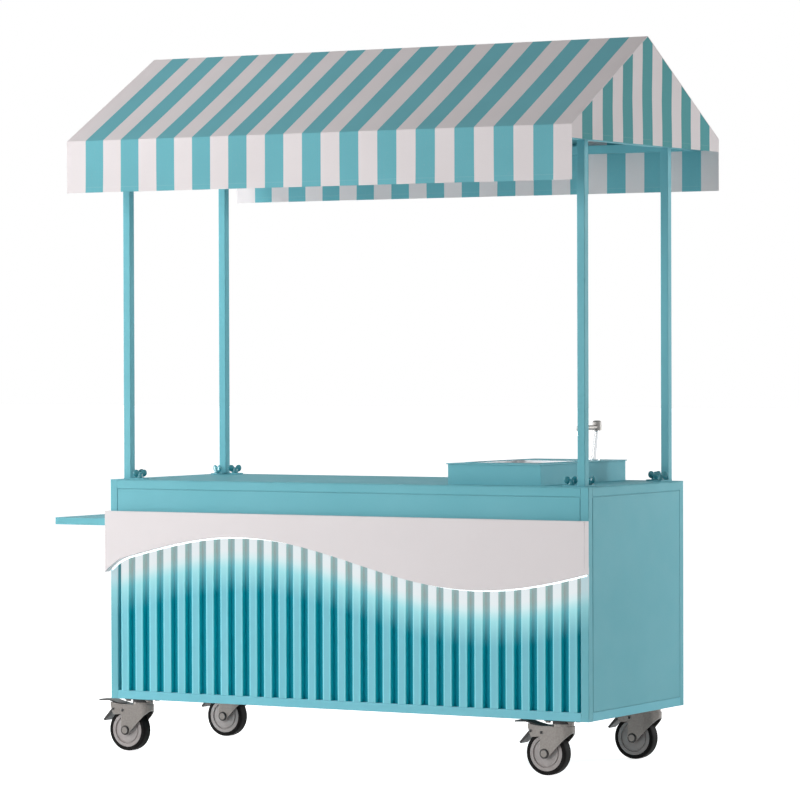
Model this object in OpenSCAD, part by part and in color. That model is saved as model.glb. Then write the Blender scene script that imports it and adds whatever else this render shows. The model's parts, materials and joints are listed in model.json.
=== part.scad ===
// Street food cart: a closed cabinet with a fluted, lit front on four braked
// swivel casters, a side shelf, a small sink and a striped gable canopy.
// Millimetres, +Z up. X runs along the counter, -Y is the serving front.
// The origin is on the floor, at the middle of the cart's whole footprint.

/* [Cabinet] */
// Length of the cabinet
cab_w = 1600; // [1300:10:2200]
// Depth of the cabinet
cab_d = 600; // [590:10:800]
// Height of the cabinet, from its underside to the worktop's upper face
cab_h = 652; // [580:1:800]
// Side of the cabinet frame's square tube
tube = 25; // [20:1:40]
// Wall of the frame's tube
tube_wall = 1.5; // [1:0.5:3]
// Thickness of the worktop sheet
top_t = 2; // [1:0.5:6]
// Thickness of the side and back panels
panel_t = 15; // [8:1:18]
// Thickness of the floor panel
floor_t = 12; // [6:1:18]
// Width and depth of the shadow line round a panel
reveal = 2; // [1:0.5:4]

/* [Front] */
// Height of the plain apron under the top rail
apron_h = 115; // [90:1:140]
// Number of flutes' ribs across the front
rib_count = 31; // [11:1:41]
// Width of one rib
rib_w = 26.5; // [12:0.5:30]
// Depth of the grooves between the ribs
groove_depth = 17; // [5:0.5:18]
// Rounding of a rib's front corners
rib_round = 2.5; // [1:0.5:5]

/* [Fascia] */
// Thickness of the wave-edged board
fascia_t = 25; // [12:1:30]
// Space between the board and the cabinet's front
fascia_gap = 8; // [7:1:25]
// How far the board runs past the cabinet's left end
fascia_left = -2; // [-10:0.5:20]
// How far the board runs past the cabinet's right end
fascia_right = 4.5; // [-10:0.5:20]
// Depth of the board's upper edge below the worktop
fascia_drop = 93; // [60:1:105]
// Mean height of the board
fascia_mean = 135; // [120:1:170]
// Rise and fall of its lower edge about the mean
wave_rise = 66; // [30:1:80]
// Length of one whole wave
wave_length = 1578; // [900:1:2000]
// Place of the wave's crest, left of the cabinet's middle
wave_crest = 331; // [150:1:450]
// Length of the tail at the board's left end
tail_l = 70; // [0:1:200]
// How far the tail drops below the wave
tail_drop = 27; // [0:1:60]
// Height of the batten that carries the board
batten_h = 40; // [20:1:55]
// Thickness of the light strip
led_t = 6; // [4:1:6]
// Height of the light strip
led_h = 16; // [8:1:20]
// How far the light strip shows below the board
led_show = 4; // [2:1:8]

/* [Side shelf] */
// Reach of the shelf from the cabinet's left side
shelf_reach = 200; // [120:5:320]
// Thickness of the shelf
shelf_t = 21; // [12:1:30]
// Depth of the shelf's upper face below the worktop
shelf_drop = 117; // [60:1:250]
// Leg of the angle cleat under the shelf
cleat_leg = 30; // [20:1:50]
// Thickness of the angle cleat
cleat_t = 3; // [2:0.5:5]

/* [Sink] */
// Width of the raised surround
sink_w = 307; // [260:1:360]
// Depth of the raised surround
sink_d = 534; // [420:1:540]
// Height of the surround above the worktop
sink_h = 60; // [30:1:90]
// Distance of the surround from the cabinet's right end
sink_right = 174; // [100:1:500]
// Distance of the surround from the cabinet's front
sink_front = 50; // [20:1:50]
// Width of the ledge in front of the basin
front_ledge = 40; // [20:1:60]
// Thickness of the surround's boards
sink_board = 15; // [10:1:20]
// Thickness of the surround's top sheet
sink_rim_t = 3; // [2:0.5:5]
// Width of the basin
basin_w = 230; // [180:5:240]
// Length of the basin, front to back
basin_d = 320; // [240:5:340]
// Depth of the basin below its rim
basin_depth = 160; // [100:5:220]
// Wall of the basin
basin_t = 2; // [1:0.5:3]
// Inner corner radius of the basin
basin_r = 30; // [15:1:50]
// Distance of the tap from the surround's right side
tap_right = 66; // [40:1:120]
// Distance of the tap from the surround's back
tap_back = 84; // [40:1:100]
// Height of the tap's head above the surround
tap_h = 115; // [90:1:180]
// How far the tap's riser leans back
tap_lean = 20; // [0:1:30]
// Reach of the spout from the tap's head
tap_reach = 115; // [100:1:150]
// Outer radius of the tap's pipe
tap_r = 7; // [6:0.5:9]

/* [Canopy] */
// Side of the canopy posts' square tube
post = 24; // [18:1:30]
// Distance of the left posts' middles from the worktop's left end
post_left = 43; // [30:1:80]
// Distance of the right posts' middles from the worktop's right end
post_right = 36; // [30:1:80]
// Distance of the posts' middles from the worktop's front and back
post_in_y = 38; // [30:1:80]
// Height of the eaves above the floor
eave_h = 1808; // [1600:0.5:2100]
// Height of the ridge above the eaves
roof_h = 270; // [120:0.5:400]
// How far the canopy runs past each end of the cabinet
roof_over_x = 37; // [30:1:150]
// How far the canopy runs past the cabinet's front and back
roof_over_y = 165; // [120:1:300]
// Drop of the valance below the eaves
valance_h = 152; // [90:1:200]
// Drop of the gable cloth below the eaves
gable_drop = 38; // [28:1:60]
// Thickness of the canopy cloth
cloth_t = 1.5; // [1:0.5:3]
// Side of the canopy frame's square tube
roof_tube = 25; // [15:1:30]
// Depth of the canopy frame's upper face below the eaves
frame_drop = 8.4; // [6:0.1:20]
// Thickness of the rafters
rafter_t = 18; // [12:1:25]
// Thickness of a post's foot plate
foot_t = 4; // [3:0.5:8]
// Reach of a foot plate's two legs from the post's middle
foot_reach = 60; // [56:1:80]
// Distance of the wing nuts from the post's middle, along and across the counter
nut_x = 38; // [36:1:48]
nut_y = 42; // [36:1:48]

/* [Casters] */
// Height of a caster, from the floor to its plate's upper face
caster_h = 158; // [150:1:175]
// Radius of a wheel
wheel_r = 62.5; // [50:0.5:65]
// Width of a tyre
wheel_w = 36; // [24:1:38]
// Distance of the wheel's axle behind the swivel axis
trail = 46; // [30:1:50]
// Distance of the left front swivel axis from the cabinet's left end
caster_left = 82; // [60:1:200]
// Distance of the right front swivel axis from the cabinet's right end
caster_right = 105; // [60:1:200]
// How much further right the rear swivel axes are
caster_rear_shift = 20; // [-10:1:40]
// Distance of the swivel axes from the cabinet's front and back
caster_in_y = 47; // [40:1:80]
// Length of a caster's plate
plate_l = 92; // [80:1:110]
// Width of a caster's plate
plate_w = 64; // [56:1:80]
// Thickness of a caster's plate
plate_t = 3; // [2:0.5:5]

/* [Hidden] */
$fn = 48;

// colours
paint = "#7cc4ce";
paint_dark = "#2f8fa3";
board_white = "#ded8d8";
light_white = "#ffffff";
steel = "#b9bcc0";
zinc = "#8f9090";
rubber = "#2b2928";
rim_grey = "#b5aeb0";
cloth = "#e6dedc";

seat = 0.1;            // clearance of a round piece that is pressed into another
fit = 0.05;            // radial running clearance of a pin in its bore
clear = 5;             // clearance between pieces that move past each other

// main levels and places
cab_x = (shelf_reach - roof_over_x) / 2;   // keeps the footprint's middle at the origin
floor_z = caster_h;                        // underside of the cabinet
top_z = floor_z + cab_h;                   // upper face of the worktop
rail_z = top_z - top_t - tube;             // underside of the top rails
base_z = floor_z + tube;                   // upper face of the base rails
open_w = cab_w - 2 * tube;                 // width between the uprights
open_d = cab_d - 2 * tube;
open_h = rail_z - base_z;                  // height between the rails
post_y = cab_d / 2 - post_in_y;
roof_x = cab_w / 2 + roof_over_x;          // half the canopy's length
roof_y = cab_d / 2 + roof_over_y;          // half the canopy's depth
roof_slope = atan(roof_h / roof_y);
frame_top = eave_h - frame_drop;           // upper face of the eave frame
frame_low = frame_top - roof_tube;

module at_cabinet() {
  translate([cab_x, 0, 0]) children();
}

// middle of the posts at the left end (-1) or the right end (1)
function post_x(sx) = sx < 0 ? post_left - cab_w / 2 : cab_w / 2 - post_right;

// the children at all four posts, turned over so that +X and +Y look inward
module at_posts() {
  for (sx = [-1, 1], sy = [-1, 1])
    translate([post_x(sx), sy * post_y, 0])
      mirror([sx > 0 ? 1 : 0, 0, 0]) mirror([0, sy > 0 ? 1 : 0, 0]) children();
}

// where a line from point p touches a circle, on the side s (1 or -1)
function touch(p, centre, r, s) =
  let (d = p - centre, a = atan2(d[1], d[0]) + s * acos(r / norm(d)))
  centre + r * [cos(a), sin(a)];

module rounded_rect(w, d, r) {
  square([w - 2 * r, d], center = true);
  square([w, d - 2 * r], center = true);
  for (sx = [-1, 1], sy = [-1, 1])
    translate([sx * (w / 2 - r), sy * (d / 2 - r)]) circle(r);
}

// square tube along +Z from the origin
module square_tube(side, len, wall) {
  linear_extrude(len) difference() {
    rounded_rect(side, side, wall * 1.2);
    square(side - 2 * wall, center = true);
  }
}

// square tube along +X, centred on the origin
module tube_x(side, len, wall) {
  translate([-len / 2, 0, 0]) rotate([0, 90, 0]) square_tube(side, len, wall);
}

module tube_y(side, len, wall) {
  rotate([0, 0, 90]) tube_x(side, len, wall);
}

// ---------------------------------------------------------------- cabinet

module cabinet_uprights() {
  color(paint) at_cabinet()
    for (sx = [-1, 1], sy = [-1, 1])
      translate([sx * (cab_w - tube) / 2, sy * (cab_d - tube) / 2, floor_z])
        square_tube(tube, cab_h - top_t, tube_wall);
}

// four rails between the uprights, their middle at height z
module rail_ring(z) {
  for (s = [-1, 1]) {
    translate([0, s * (cab_d / 2 - tube / 2), z]) tube_x(tube, open_w, tube_wall);
    translate([s * (cab_w / 2 - tube / 2), 0, z]) tube_y(tube, open_d, tube_wall);
  }
}

module base_rails() {
  color(paint) at_cabinet() rail_ring(floor_z + tube / 2);
}

module top_rails() {
  color(paint) at_cabinet() rail_ring(rail_z + tube / 2);
}

module floor_panel() {
  color(paint_dark) at_cabinet()
    translate([-open_w / 2, -open_d / 2, floor_z]) cube([open_w, open_d, floor_t]);
}

// flat panel in the XZ plane with a rebated shadow line round its outer face;
// its outer face is at y = 0 and looks to -Y
module flush_panel(w, h, t) {
  translate([-w / 2, reveal, 0]) cube([w, t - reveal, h]);
  translate([-w / 2 + reveal, 0, reveal])
    cube([w - 2 * reveal, reveal, h - 2 * reveal]);
}

module side_panels() {
  color(paint) at_cabinet()
    for (s = [-1, 1])
      translate([s * cab_w / 2, 0, base_z]) rotate([0, 0, s * 90])
        flush_panel(open_d, open_h, panel_t);
}

module back_panel() {
  color(paint) at_cabinet()
    translate([0, cab_d / 2, base_z]) rotate([0, 0, 180])
      flush_panel(open_w, open_h, panel_t);
}

module front_apron() {
  color(paint) at_cabinet()
    translate([0, -cab_d / 2, rail_z - apron_h])
      flush_panel(open_w, apron_h, panel_t);
}

// backing board and ribs as one grooved panel
module fluted_panel() {
  pitch = open_w / rib_count;
  color(paint) at_cabinet()
    translate([-open_w / 2, -cab_d / 2, base_z])
      linear_extrude(open_h - apron_h) {
        translate([0, groove_depth]) square([open_w, tube - groove_depth]);
        for (i = [0 : rib_count - 1])
          translate([(i + 0.5) * pitch, 0]) rib_profile();
      }
}

module rib_profile() {
  translate([-rib_w / 2, rib_round]) square([rib_w, groove_depth]);
  translate([-rib_w / 2 + rib_round, 0]) square([rib_w - 2 * rib_round, groove_depth]);
  for (s = [-1, 1])
    translate([s * (rib_w / 2 - rib_round), rib_round]) circle(rib_round, $fn = 24);
}

// worktop sheet with the basin's cut-out and the studs that hold the posts
module countertop() {
  color(paint) at_cabinet() {
    difference() {
      translate([-cab_w / 2, -cab_d / 2, top_z - top_t]) cube([cab_w, cab_d, top_t]);
      translate([sink_x, basin_y, top_z - top_t - 1])
        linear_extrude(top_t + 2)
          basin_plan(basin_room);
    }
    at_posts()
      for (p = stud_places)
        translate([p[0], p[1], top_z]) cylinder(r = stud_r, h = foot_t + nut_h + 3);
  }
}

// ---------------------------------------------------------------- fascia and light

fascia_top = top_z - fascia_drop;
fascia_x0 = -cab_w / 2 - fascia_left;      // the board's two ends
fascia_x1 = cab_w / 2 + fascia_right;
fascia_y = -cab_d / 2 - fascia_gap;        // the board's back face
wave_steps = 96;
led_in = 8;                                // from the board's ends to the light strip's

// drop of the board's tail at x
function tail_z(x) = tail_drop * pow(max(0, 1 - (x - fascia_x0) / max(tail_l, 1)), 2);

// height of the board's lower edge at x
function wave_z(x) =
  fascia_top - fascia_mean - tail_z(x)
  + wave_rise * cos(360 * (x + wave_crest) / wave_length);

// points along the lower edge from x0 to x1, raised by dz
function wave_line(x0, x1, dz) =
  [for (i = [0 : wave_steps]) let (x = x0 + (x1 - x0) * i / wave_steps) [x, wave_z(x) + dz]];

// plate in the XZ plane of the given thickness, its front face at y = front
module upright_plate(front, t) {
  translate([0, front + t, 0]) rotate([90, 0, 0]) linear_extrude(t) children();
}

module fascia_board() {
  color(board_white) at_cabinet()
    upright_plate(fascia_y - fascia_t, fascia_t)
      polygon(concat(wave_line(fascia_x0, fascia_x1, 0),
                     [[fascia_x1, fascia_top], [fascia_x0, fascia_top]]));
}

// hidden batten, a little below the board's upper edge
module fascia_batten() {
  below = 5;
  color(board_white) at_cabinet()
    translate([-open_w / 2, fascia_y, fascia_top - batten_h - below])
      cube([open_w, fascia_gap, batten_h]);
}

// flexible light strip on the back of the board, following its lower edge
module light_strip() {
  lower = wave_line(fascia_x0 + led_in, fascia_x1 - led_in, -led_show);
  upper = wave_line(fascia_x0 + led_in, fascia_x1 - led_in, led_h - led_show);
  color(light_white) at_cabinet()
    upright_plate(fascia_y, led_t)
      polygon(concat(lower, [for (i = [len(upper) - 1 : -1 : 0]) upper[i]]));
}

// ---------------------------------------------------------------- side shelf

module side_shelf() {
  color(paint) at_cabinet()
    translate([-cab_w / 2 - shelf_reach, -cab_d / 2, top_z - shelf_drop - shelf_t])
      cube([shelf_reach, cab_d, shelf_t]);
}

// steel angle under the shelf, on the cabinet's side
module shelf_cleat() {
  len = 0.8 * cab_d;
  color(paint) at_cabinet()
    translate([-cab_w / 2, len / 2, top_z - shelf_drop - shelf_t])
      rotate([90, 0, 0]) linear_extrude(len)
        polygon([[0, 0], [-cleat_leg, 0], [-cleat_leg, -cleat_t],
                 [-cleat_t, -cleat_t], [-cleat_t, -cleat_leg], [0, -cleat_leg]]);
}

// ---------------------------------------------------------------- sink

sink_x = cab_w / 2 - sink_right - sink_w / 2;
sink_y = -cab_d / 2 + sink_front + sink_d / 2;
basin_y = sink_y - (sink_d - basin_d) / 2 + front_ledge;
sink_top = top_z + sink_h;
rim_over = 4;                              // the top sheet past the boards
basin_play = 0.5;                          // round the basin in the top sheet
basin_room = 5;                            // round the basin in the worktop
basin_lip = 8;
drain_r = 20;

// plan of the basin's outside, grown by extra on every side
module basin_plan(extra) {
  grow = basin_t + extra;
  rounded_rect(basin_w + 2 * grow, basin_d + 2 * grow, basin_r + grow);
}

module sink_surround() {
  w = sink_w - 2 * rim_over;
  d = sink_d - 2 * rim_over;
  color(paint) at_cabinet() {
    translate([sink_x, sink_y, top_z]) linear_extrude(sink_h - sink_rim_t) difference() {
      square([w, d], center = true);
      square([w - 2 * sink_board, d - 2 * sink_board], center = true);
    }
    translate([0, 0, sink_top - sink_rim_t]) linear_extrude(sink_rim_t) difference() {
      translate([sink_x, sink_y]) square([sink_w, sink_d], center = true);
      translate([sink_x, basin_y]) basin_plan(basin_play);
    }
  }
}

// pressed basin with a flat lip that rests on the surround's top sheet
module sink_basin() {
  color(steel) at_cabinet() translate([sink_x, basin_y, sink_top]) difference() {
    union() {
      linear_extrude(basin_t) basin_plan(basin_lip);
      translate([0, 0, -basin_depth]) linear_extrude(basin_depth) basin_plan(0);
    }
    translate([0, 0, -basin_depth + basin_t]) linear_extrude(basin_depth + 2 * basin_t)
      basin_plan(-basin_t);
    translate([0, 0, -basin_depth - 1]) cylinder(r = drain_r, h = basin_t + 2);
  }
}

tap_base_r = 17;
tap_base_t = 5;
tap_head_r = 13;
tap_head_h = 30;
tap_outlet = 22;       // drop of the outlet below the spout's middle

// tap at the back of the surround: a leaning riser, a round head and a spout
// that reaches over the basin
module sink_tap() {
  x = sink_x + sink_w / 2 - tap_right;
  y = sink_y + sink_d / 2 - tap_back;
  foot = tap_base_t / 2;            // the riser's foot stays inside its base
  neck = tap_h - tap_head_h;
  spout_z = neck + tap_head_h / 3;
  color(steel) at_cabinet() translate([x, y, sink_top]) {
    cylinder(r = tap_base_r, h = tap_base_t);
    translate([0, 0, foot]) rotate([-atan(tap_lean / (neck - foot)), 0, 0])
      cylinder(r1 = tap_r + 3, r2 = tap_r, h = norm([tap_lean, neck - foot]) + 2);
    translate([0, tap_lean, neck]) tap_head();
    translate([0, tap_lean, spout_z]) rotate([90, 0, 0])
      cylinder(r = tap_r, h = tap_reach);
    translate([0, tap_lean - tap_reach, spout_z]) {
      sphere(tap_r);
      translate([0, 0, -tap_outlet]) cylinder(r = tap_r, h = tap_outlet);
    }
  }
}

// turned head with a rounded upper edge
module tap_head() {
  edge = tap_head_r / 2;
  rotate_extrude() {
    square([tap_head_r, tap_head_h - edge]);
    square([tap_head_r - edge, tap_head_h]);
    intersection() {
      translate([tap_head_r - edge, tap_head_h - edge]) circle(edge);
      square([tap_head_r, tap_head_h]);
    }
  }
}

// ---------------------------------------------------------------- posts

stud_r = 4;
stud_play = 0.3;
nut_h = 14;
wing_t = 5;
stud_places = [[nut_x, 0], [0, nut_y]];    // inward from a post's middle

module posts() {
  color(paint) at_cabinet() at_posts()
    translate([0, 0, top_z + foot_t])
      square_tube(post, frame_low - top_z - foot_t, tube_wall);
}

// foot plates under the posts, their two legs running inward to the studs
module post_feet() {
  len = foot_reach + post / 2;
  color(paint) at_cabinet() at_posts()
    translate([0, 0, top_z]) linear_extrude(foot_t) difference() {
      union() {
        translate([-post / 2, -post / 2]) square([len, post]);
        translate([-post / 2, -post / 2]) square([post, len]);
      }
      for (p = stud_places) translate(p) circle(stud_r + stud_play);
    }
}

// wing nuts on the studs, their wings clear of the posts
module wing_nuts() {
  turns = [65, 25];
  color(paint_dark) at_cabinet() at_posts()
    for (i = [0, 1])
      translate([stud_places[i][0], stud_places[i][1], top_z + foot_t])
        rotate([0, 0, turns[i]]) wing_nut();
}

module wing_nut() {
  base_r = 10;
  neck_r = 7.5;
  difference() {
    union() {
      cylinder(r1 = base_r, r2 = neck_r, h = nut_h);
      for (s = [-1, 1])
        translate([0, wing_t / 2, 0]) rotate([90, 0, 0]) linear_extrude(wing_t)
          wing_profile(s);
    }
    translate([0, 0, -1]) cylinder(r = stud_r + fit, h = nut_h + 2);
  }
}

// one wing: an ear that grows out of the nut's side
module wing_profile(s) {
  ear = [14, nut_h + 2];
  ear_r = 8;
  root = stud_r + 1.5;
  mirror([s > 0 ? 0 : 1, 0]) {
    polygon([[root, 0], [root + 2, 0], touch([root + 2, 0], ear, ear_r, 1),
             touch([root, nut_h - 3], ear, ear_r, -1), [root, nut_h - 3]]);
    translate(ear) circle(ear_r);
  }
}

// ---------------------------------------------------------------- canopy frame

eave_mid_y = roof_y - cloth_t - roof_tube / 2;
end_mid_x = roof_x - cloth_t - roof_tube / 2;
frame_mid = frame_low + roof_tube / 2;

module eave_rails() {
  color(paint) at_cabinet()
    for (s = [-1, 1])
      translate([0, s * eave_mid_y, frame_mid])
        tube_x(roof_tube, 2 * (roof_x - cloth_t), tube_wall);
}

// end bars and the bars over the posts, all between the eave rails
module eave_cross_bars() {
  len = 2 * (eave_mid_y - roof_tube / 2);
  color(paint) at_cabinet()
    for (x = [-end_mid_x, post_x(-1), post_x(1), end_mid_x])
      translate([x, 0, frame_mid]) tube_y(roof_tube, len, tube_wall);
}

// height of the roof cloth's under face at distance y from the ridge
function roof_under(y) =
  eave_h + roof_h * (roof_y - y) / roof_y - cloth_t / cos(roof_slope);

ridge_side = rafter_t;

// distance from the ridge at which a rafter's lower face meets the eave frame
rafter_heel =
  roof_y * (1 - ((cloth_t + rafter_t) / cos(roof_slope) - frame_drop) / roof_h);

// pairs of rafters from the eave frame up to the ridge tube
module rafters() {
  depth = rafter_t / cos(roof_slope);
  head_y = ridge_side / 2;
  end_x = roof_x - cloth_t - rafter_t / 2;
  color(paint) at_cabinet()
    for (x = [-end_x, 0, end_x], s = [0, 1])
      mirror([0, s, 0]) translate([x - rafter_t / 2, 0, 0])
        rotate([90, 0, 90]) linear_extrude(rafter_t)
          polygon([[head_y, roof_under(head_y)], [eave_mid_y, roof_under(eave_mid_y)],
                   [eave_mid_y, frame_top], [rafter_heel, frame_top],
                   [head_y, roof_under(head_y) - depth]]);
}

module ridge_tube() {
  z = roof_under(ridge_side / 2);
  len = 2 * (roof_x - cloth_t);
  color(paint) at_cabinet()
    translate([-len / 2, 0, z - ridge_side / 2]) rotate([0, 90, 0])
      square_tube(ridge_side, len, tube_wall);
}

// ---------------------------------------------------------------- canopy cloth

// outline of the roof and both valances in the YZ plane, d inside the outer face
function roof_outline(d, low) = [
  [-roof_y + d, low],
  [-roof_y + d, eave_h - d * tan(roof_slope / 2)],
  [0, eave_h + roof_h - d / cos(roof_slope)],
  [roof_y - d, eave_h - d * tan(roof_slope / 2)],
  [roof_y - d, low]
];

module canopy_cover() {
  low = eave_h - valance_h;
  outer = roof_outline(0, low);
  inner = roof_outline(cloth_t, low);
  color(cloth) at_cabinet()
    translate([-roof_x, 0, 0]) rotate([90, 0, 90]) linear_extrude(2 * roof_x)
      polygon(concat(outer, [for (i = [4 : -1 : 0]) inner[i]]));
}

// gable cloth inside the cover's end
module gable(s) {
  color(cloth) at_cabinet()
    translate([s * roof_x - (s > 0 ? cloth_t : 0), 0, 0])
      rotate([90, 0, 90]) linear_extrude(cloth_t)
        polygon(roof_outline(cloth_t + seat, eave_h - gable_drop));
}

module gable_left() { gable(-1); }
module gable_right() { gable(1); }

// ---------------------------------------------------------------- casters

race_r = 30;
race_t = 8;
race_gap = 0.4;
king_r = 6;
king_head = 4;         // how far the king pin's head runs past the pin
head_t = 7;            // lower race, on the fork's crown
crown_t = 3;
fork_wall = 3;
nose_in = wheel_w / 2 + clear;      // inner radius of the fork's round nose
nose_out = nose_in + fork_wall;
fork_in = nose_in + 2;              // half the space between the fork's sides
fork_out = fork_in + fork_wall;
nose_x = 8;                         // middle of the nose
fold_x = -10;                       // where the sides bend inward to the nose
fork_back = 52;                     // from the axle to the rear end of its sides
rear_x = -trail - fork_back;
race_z = caster_h - plate_t - race_t;
crown_z = race_z - race_gap - head_t - crown_t;
crown_top = crown_z + crown_t;
axle_r = 5;
hub_r = 15;            // round ends of the fork's sides
cap_r = 11;
cap_t = 4;
pin_r = 3;
pin_back = 43;                      // brake pedal's pin, from the axle
pin_up = 62;
pivot_x = -trail - pin_back;
pivot_z = wheel_r + pin_up;
rivet_in = 34;                      // rivets in front of the pin
rivet_x = pivot_x + rivet_in;
rivet_r = 5;
rivet_t = 1.5;
barrel_r = 7;
pedal_play = 3;                     // beside the pedal, between the fork's sides

// place of a swivel axis in plan
function caster_place(right, rear) = [
  (right ? cab_w / 2 - caster_right : -cab_w / 2 + caster_left)
    + (rear ? caster_rear_shift : 0),
  (rear ? 1 : -1) * (cab_d / 2 - caster_in_y)
];

module at_caster(right, rear) {
  p = caster_place(right, rear);
  at_cabinet() translate([p[0], p[1], 0]) children();
}

// plates with the upper race and the king pin, riveted below the fork's head
module caster_plates() {
  color(zinc)
    for (right = [false, true], rear = [false, true])
      at_caster(right, rear) caster_plate();
}

module caster_plate() {
  translate([0, 0, caster_h - plate_t]) linear_extrude(plate_t)
    rounded_rect(plate_l, plate_w, 6);
  translate([0, 0, race_z]) cylinder(r = race_r, h = race_t);
  translate([0, 0, crown_z - race_gap]) cylinder(r = king_r, h = caster_h - plate_t - crown_z);
  translate([0, 0, crown_z - race_gap - king_head]) cylinder(r = king_r + king_head, h = king_head);
}

// plan of the fork's hood: straight sides that close in to a round nose,
// with the given half width and nose radius
module hood_plan(half, nose) {
  t = touch([fold_x, half], [nose_x, 0], nose, -1);
  polygon([[rear_x, -half], [fold_x, -half], [t[0], -t[1]], t, [fold_x, half],
           [rear_x, half]]);
  translate([nose_x, 0]) circle(nose);
}

// side view of the fork, from the crown down to the axle
module fork_side() {
  axle = [-trail, wheel_r];
  front = [nose_x + nose_out, crown_top - 16];
  notch = [-trail - hub_r + 2, pivot_z - 15];     // corner behind the wheel's top
  leg = notch - [0, 10];
  polygon([[rivet_x - 5, crown_top], [rear_x + 18, crown_top + 2],
           [rear_x, crown_top + 6], [rear_x, crown_top - 5], [rear_x + 9, notch[1] - 2],
           notch, leg, touch(leg, axle, hub_r, 1), touch(front, axle, hub_r, -1),
           front, [front[0], crown_top]]);
  translate(axle) circle(hub_r);
}

module fork() {
  color(zinc) {
    difference() {
      union() {
        intersection() {
          linear_extrude(caster_h) difference() {
            hood_plan(fork_out, nose_out);
            hood_plan(fork_in, nose_in);
          }
          translate([0, fork_out + 1, 0]) rotate([90, 0, 0])
            linear_extrude(2 * fork_out + 2) fork_side();
        }
        // crown plate, in front of the pedal, and the lower race on it
        translate([0, 0, crown_z]) linear_extrude(crown_t) intersection() {
          hood_plan(fork_out, nose_out);
          translate([rivet_x, -fork_out]) square(4 * fork_out);
        }
        translate([0, 0, crown_top]) cylinder(r = race_r, h = head_t);
      }
      translate([0, 0, crown_z - 1]) cylinder(r = king_r + fit, h = head_t + crown_t + 2);
    }
    // axle bolt with its caps
    cross_pin(-trail, wheel_r, axle_r, cap_r, cap_t);
    // pin of the brake pedal
    cross_pin(pivot_x, pivot_z, pin_r, rivet_r, rivet_t);
    // rivets beside the pin
    translate([rivet_x, 0, pivot_z - 3]) rotate([90, 0, 0])
      for (s = [-1, 1])
        translate([0, 0, s * (fork_out + rivet_t / 2)])
          cylinder(r = rivet_r, h = rivet_t, center = true);
  }
}

// pin right across the fork at x and z, with a cap outside each of its sides
module cross_pin(x, z, r, head_r, t) {
  translate([x, 0, z]) rotate([90, 0, 0]) {
    cylinder(r = r, h = 2 * fork_out, center = true);
    for (s = [-1, 1])
      translate([0, 0, s * (fork_out + t / 2)]) cylinder(r = head_r, h = t, center = true);
  }
}

rim_r = 50.5;
rim_t = 10;
ring_w = 3;            // ring groove between the rim and the disc
ring_t = 4;            // its depth
wheel_sink = 1.5;      // disc's face below the rim's
rim_in = 1;            // rim's face inside the tyre's side

// wheel body: rim, ring groove, disc and hub turned in one piece
module wheel_core() {
  half = wheel_w / 2;
  rim = half - rim_in;
  disc = rim - wheel_sink;
  groove = rim - ring_t;
  r1 = rim_r - rim_t;
  r2 = r1 - ring_w;
  side = [[axle_r + fit, half], [hub_r - 2, half], [hub_r - 1, disc], [r2 - 1, disc],
          [r2, groove], [r1, groove], [r1 + 1, rim], [rim_r, rim]];
  color(rim_grey) translate([-trail, 0, wheel_r]) rotate([90, 0, 0])
    rotate_extrude($fn = 96) polygon(both_sides(side));
}

// outline closed by the same points mirrored about the wheel's middle plane
function both_sides(side) =
  concat(side, [for (i = [len(side) - 1 : -1 : 0]) [side[i][0], -side[i][1]]]);

// tyre with square shoulders
module tyre() {
  half = wheel_w / 2;
  side = [[rim_r + seat, half - rim_in], [rim_r + 3, half], [wheel_r - 2.5, half],
          [wheel_r - 0.8, half - 2], [wheel_r, half - 7]];
  color(rubber) translate([-trail, 0, wheel_r]) rotate([90, 0, 0])
    rotate_extrude($fn = 96) polygon(both_sides(side));
}

// brake pedal: a barrel on its pin, an upper tread and a lower release tab
module pedal() {
  half = fork_in - pedal_play;
  tread = [[29, 16], [9, 20.5], [-9, 25.5], [-19, 28], [-54, 26.5]];
  tread_t = 4;
  tab = [[-6, 3.5], [-39, -33], [-35, -37.5], [-1, -5.5]];
  color(zinc) difference() {
    translate([pivot_x, half, pivot_z]) rotate([90, 0, 0]) linear_extrude(2 * half) {
      circle(barrel_r);
      polygon([[-5, 0], [5, 0], [7, 18], [-7, 22]]);
      polygon(concat(tread, [for (i = [len(tread) - 1 : -1 : 0]) tread[i] - [0, tread_t]]));
      polygon(tab);
    }
    translate([pivot_x, 0, pivot_z]) rotate([90, 0, 0])
      cylinder(r = pin_r + fit, h = 4 * half, center = true);
  }
}

// ---------------------------------------------------------------- nodes

cabinet_uprights();
base_rails();
top_rails();
floor_panel();
countertop();
front_apron();
fluted_panel();
side_panels();
back_panel();
fascia_batten();
fascia_board();
light_strip();
side_shelf();
shelf_cleat();
sink_surround();
sink_basin();
sink_tap();
posts();
post_feet();
wing_nuts();
eave_rails();
eave_cross_bars();
rafters();
ridge_tube();
canopy_cover();
gable_left();
gable_right();
caster_plates();

for (right = [false, true], rear = [false, true]) {
  corner = str(rear ? "rear" : "front", "_", right ? "right" : "left");
  at_caster(right, rear) {
    fork();
    wheel_core();
    tyre();
    pedal();
  }
}
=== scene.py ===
"""Dresses the street food cart: painted cabinet, lit wave board, striped canopy, sink and casters.

Metres, +Z up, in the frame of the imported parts. X runs along the counter and -Y is the
serving front. Sizes that follow the parts come from the frame. The others are in the settings,
and those of small fixed things are named above the functions that use them.
"""

import json
import math

import bmesh
import bpy
from mathutils import Matrix, Vector


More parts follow.
